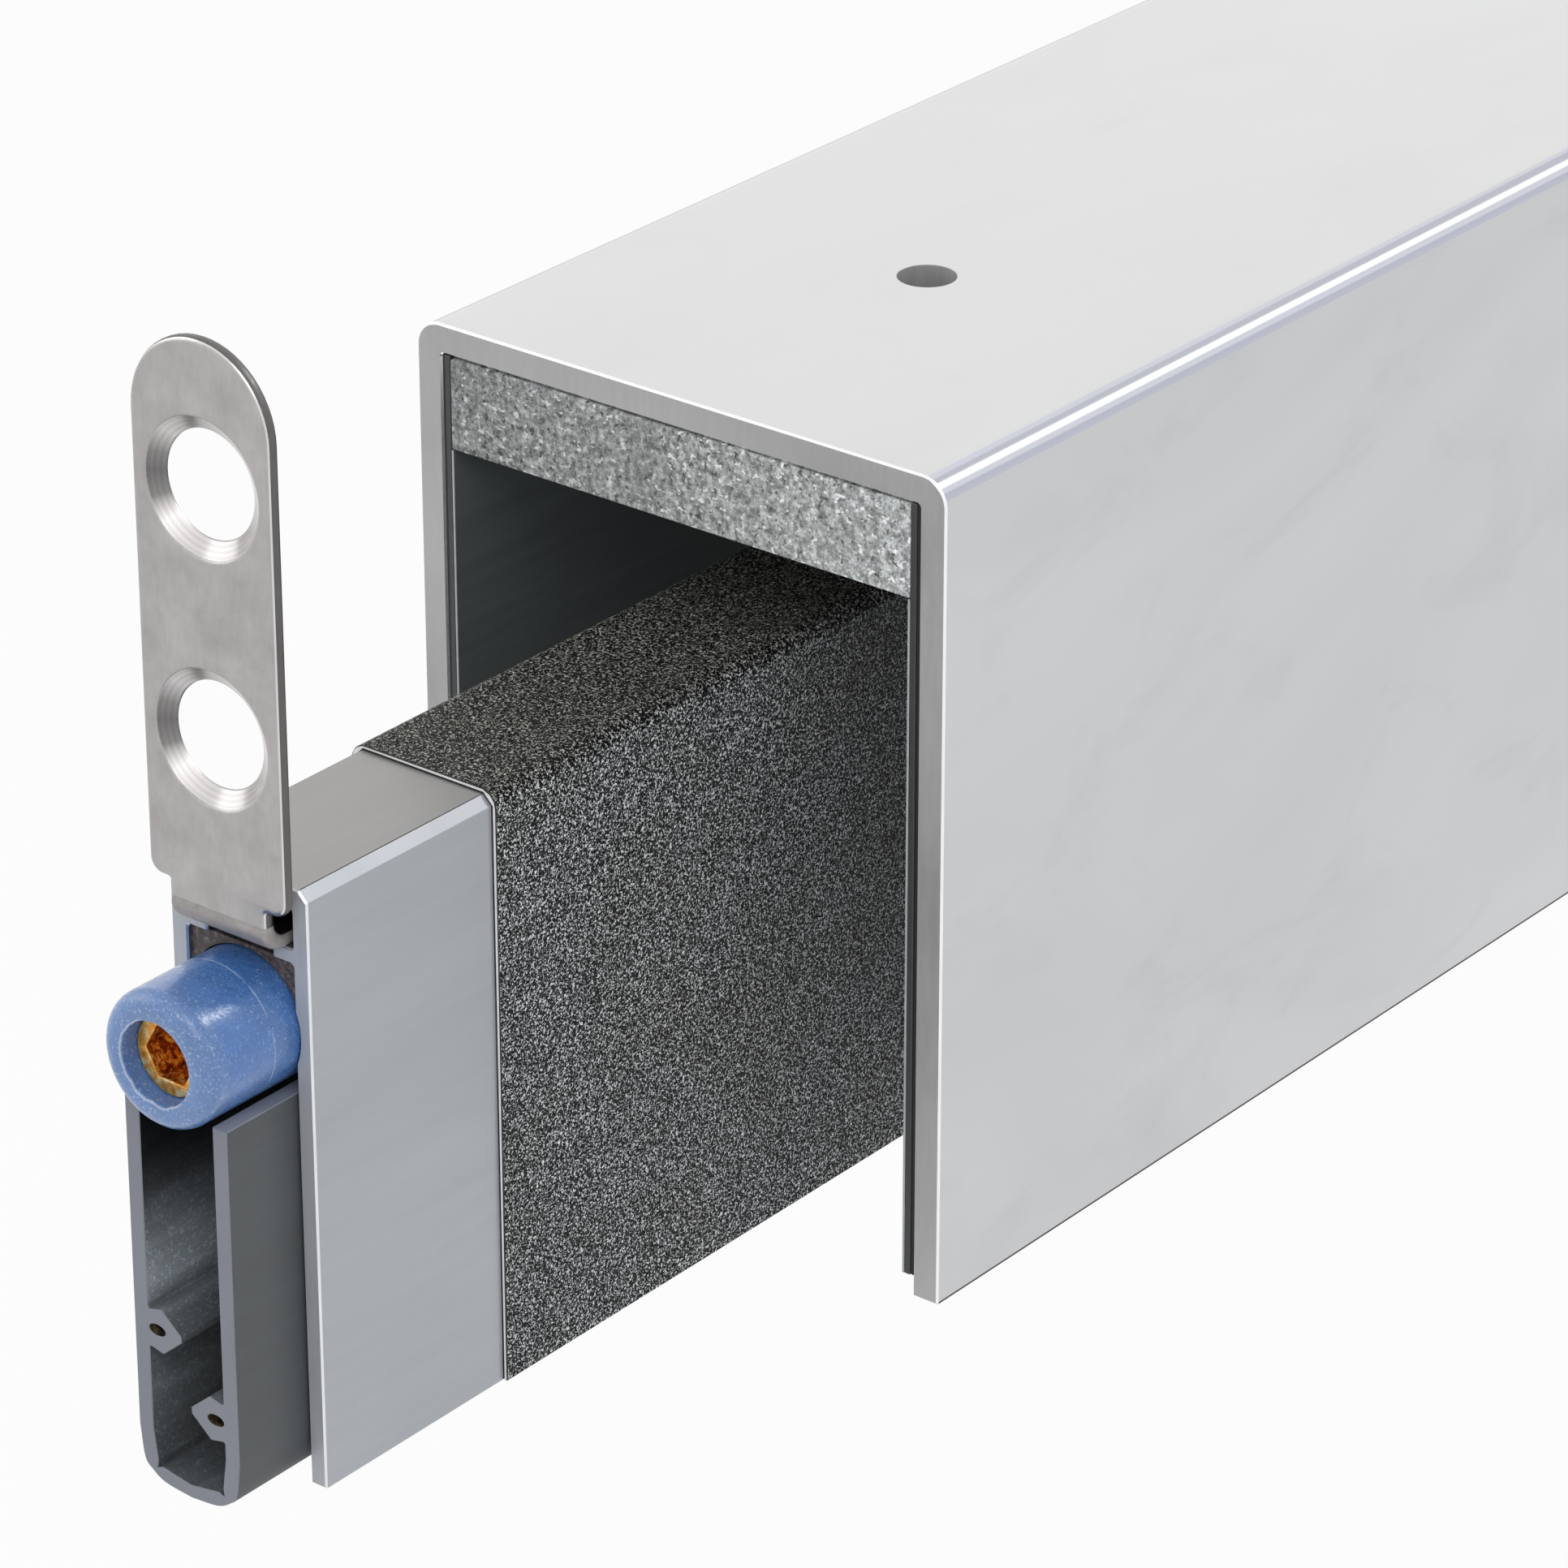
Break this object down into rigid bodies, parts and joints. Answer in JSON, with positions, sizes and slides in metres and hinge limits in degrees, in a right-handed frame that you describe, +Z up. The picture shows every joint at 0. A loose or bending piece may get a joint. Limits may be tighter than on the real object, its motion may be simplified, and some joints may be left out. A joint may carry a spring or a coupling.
{
  "type": "automatic door bottom seal",
  "caption": "Drop-down door bottom seal in a channel, cut back in steps: a push plunger lowers a soft U-shaped seal out of its housing; screw-fixed end brackets.",
  "frame": {"origin": "middle of the channel's front edge, on its top face", "axes": "+Y along the channel towards its back end, +Z up out of the top face, +X to the right seen from the front"},
  "size_m": [0.05, 0.2091, 0.0882],
  "materials": {
    "channel_metal": "smooth, glossy silver",
    "mineral_board": "matt, speckled grey",
    "liner": "matt graphite",
    "facing": "smooth, dark slate",
    "sleeve_wrap": "matt charcoal with a fine embossed grain",
    "housing_metal": "satin, blue-grey",
    "bracket_steel": "brushed, warm grey",
    "plunger_plastic": "waxy, blue",
    "screw_brass": "bright, turned",
    "rod_metal": "drawn",
    "link_steel": "stamped, zinc grey",
    "rail_metal": "mill finish",
    "seal_rubber": "matt, grey",
    "guide_plastic": "moulded, dark brown-grey",
    "spring_steel": "bright wire"
  },
  "bodies": {
    "frame": {"channel": "channel_metal", "fire_board": "mineral_board", "front_packer": "mineral_board", "rear_packer": "mineral_board", "left_liner": "liner", "right_liner": "liner", "left_facing": "facing", "right_facing": "facing", "sleeve": "sleeve_wrap", "housing": "housing_metal", "front_bracket": "bracket_steel", "rear_bracket": "bracket_steel", "plunger_saddle": "guide_plastic", "front_guide_block": "guide_plastic", "rear_guide_block": "guide_plastic", "return_spring": "spring_steel"},
    "plunger_rod": {"plunger": "plunger_plastic", "push_rod": "rod_metal", "spring_collar": "link_steel", "front_upper_pin": "link_steel", "rear_upper_pin": "link_steel"},
    "adjuster": {"adjusting_screw": "screw_brass"},
    "front_swing_link": {"front_link": "link_steel"},
    "rear_swing_link": {"rear_link": "link_steel"},
    "seal_carriage": {"seal_profile": "seal_rubber", "carrier_rail": "rail_metal", "front_lower_pin": "link_steel", "rear_lower_pin": "link_steel"}
  },
  "joints": [
    {"name": "plunger_push", "type": "slide", "parent": "frame", "child": "plunger_rod", "axis": [0, 1, 0], "range_m": [0, 0.0075], "stiffness_N_per_m": 900, "springref_m": -0.006, "deforming": ["return_spring"]},
    {"name": "adjuster_turn", "type": "hinge", "parent": "plunger_rod", "child": "adjuster", "pos_m": [0, -0.0554, -0.0312], "axis": [0, 1, 0], "continuous": true},
    {"name": "front_link_swing", "type": "hinge", "parent": "plunger_rod", "child": "front_swing_link", "pos_m": [0, 0.02, -0.0312], "axis": [-1, 0, 0], "range_deg": [0, 25.55]},
    {"name": "rear_link_swing", "type": "hinge", "parent": "plunger_rod", "child": "rear_swing_link", "pos_m": [0, 0.095, -0.0312], "axis": [-1, 0, 0], "range_deg": [0, 25.55]},
    {"name": "seal_drop", "type": "slide", "parent": "frame", "child": "seal_carriage", "axis": [0, 0, -1], "range_m": [0, 0.012]}
  ],
  "couplings": [
    {"joint": "front_link_swing", "follows": "plunger_push", "rad_per_m": 59.454},
    {"joint": "rear_link_swing", "follows": "plunger_push", "rad_per_m": 59.454},
    {"joint": "seal_drop", "follows": "plunger_push", "ratio": 1.6}
  ]
}
